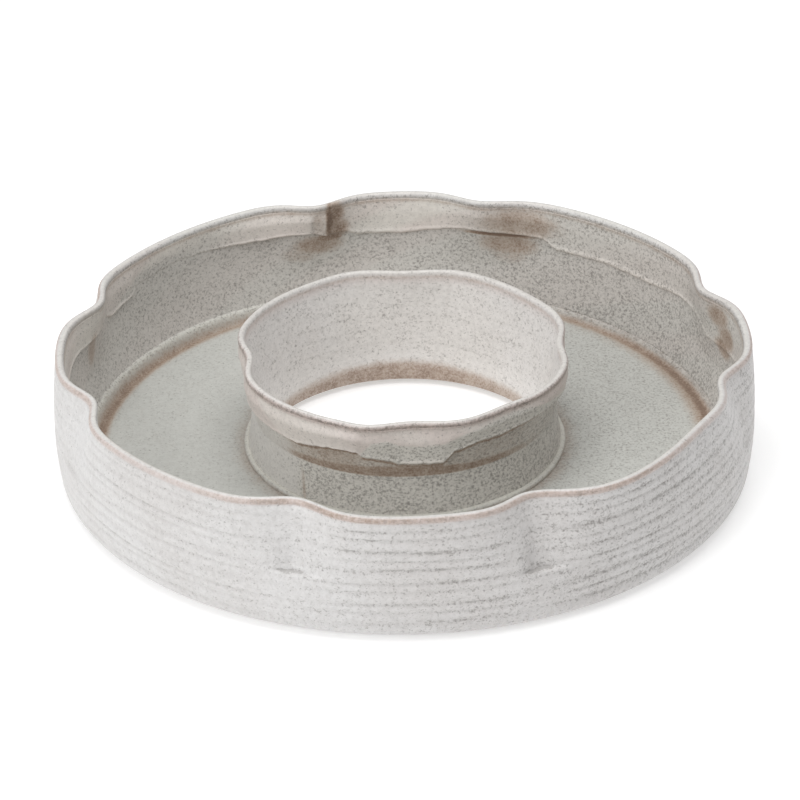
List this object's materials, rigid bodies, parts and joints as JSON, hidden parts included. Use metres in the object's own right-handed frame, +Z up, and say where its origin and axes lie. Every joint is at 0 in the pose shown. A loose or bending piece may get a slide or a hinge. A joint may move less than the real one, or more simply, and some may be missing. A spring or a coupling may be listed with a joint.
{
  "type": "chip and dip server",
  "caption": "Round glazed stoneware ring dish for serving chips and dip: pinched outer wall, flat ring floor, and a flared inner collar around an open middle.",
  "frame": {"origin": "centre of the dish on the surface it stands on", "axes": "+Z up through the open middle; -Y is the side that faces a viewer, and +X is to that viewer's right"},
  "size_m": [0.34, 0.3402, 0.064],
  "materials": {
    "wall_glaze": "semi-matt chalk-white glaze over throwing lines, speckled grey-brown",
    "band_glaze": "smooth cream glaze, breaking brown on its edges",
    "coil_glaze": "pale cream-green glaze",
    "floor_glaze": "sage-grey glaze with fine speckle, satin",
    "collar_glaze": "white and cream glaze with fine speckle, satin",
    "bare_stoneware": "bare fired clay, matt and slightly rough"
  },
  "bodies": {
    "root": {"outer_wall": "wall_glaze", "outer_rim_band": "band_glaze", "wall_foot_coil": "coil_glaze", "floor_ring": "floor_glaze", "collar_foot_coil": "coil_glaze", "inner_collar": "collar_glaze", "collar_rim_band": "band_glaze", "outer_foot_ring": "bare_stoneware", "inner_foot_ring": "bare_stoneware"}
  },
  "joints": []
}
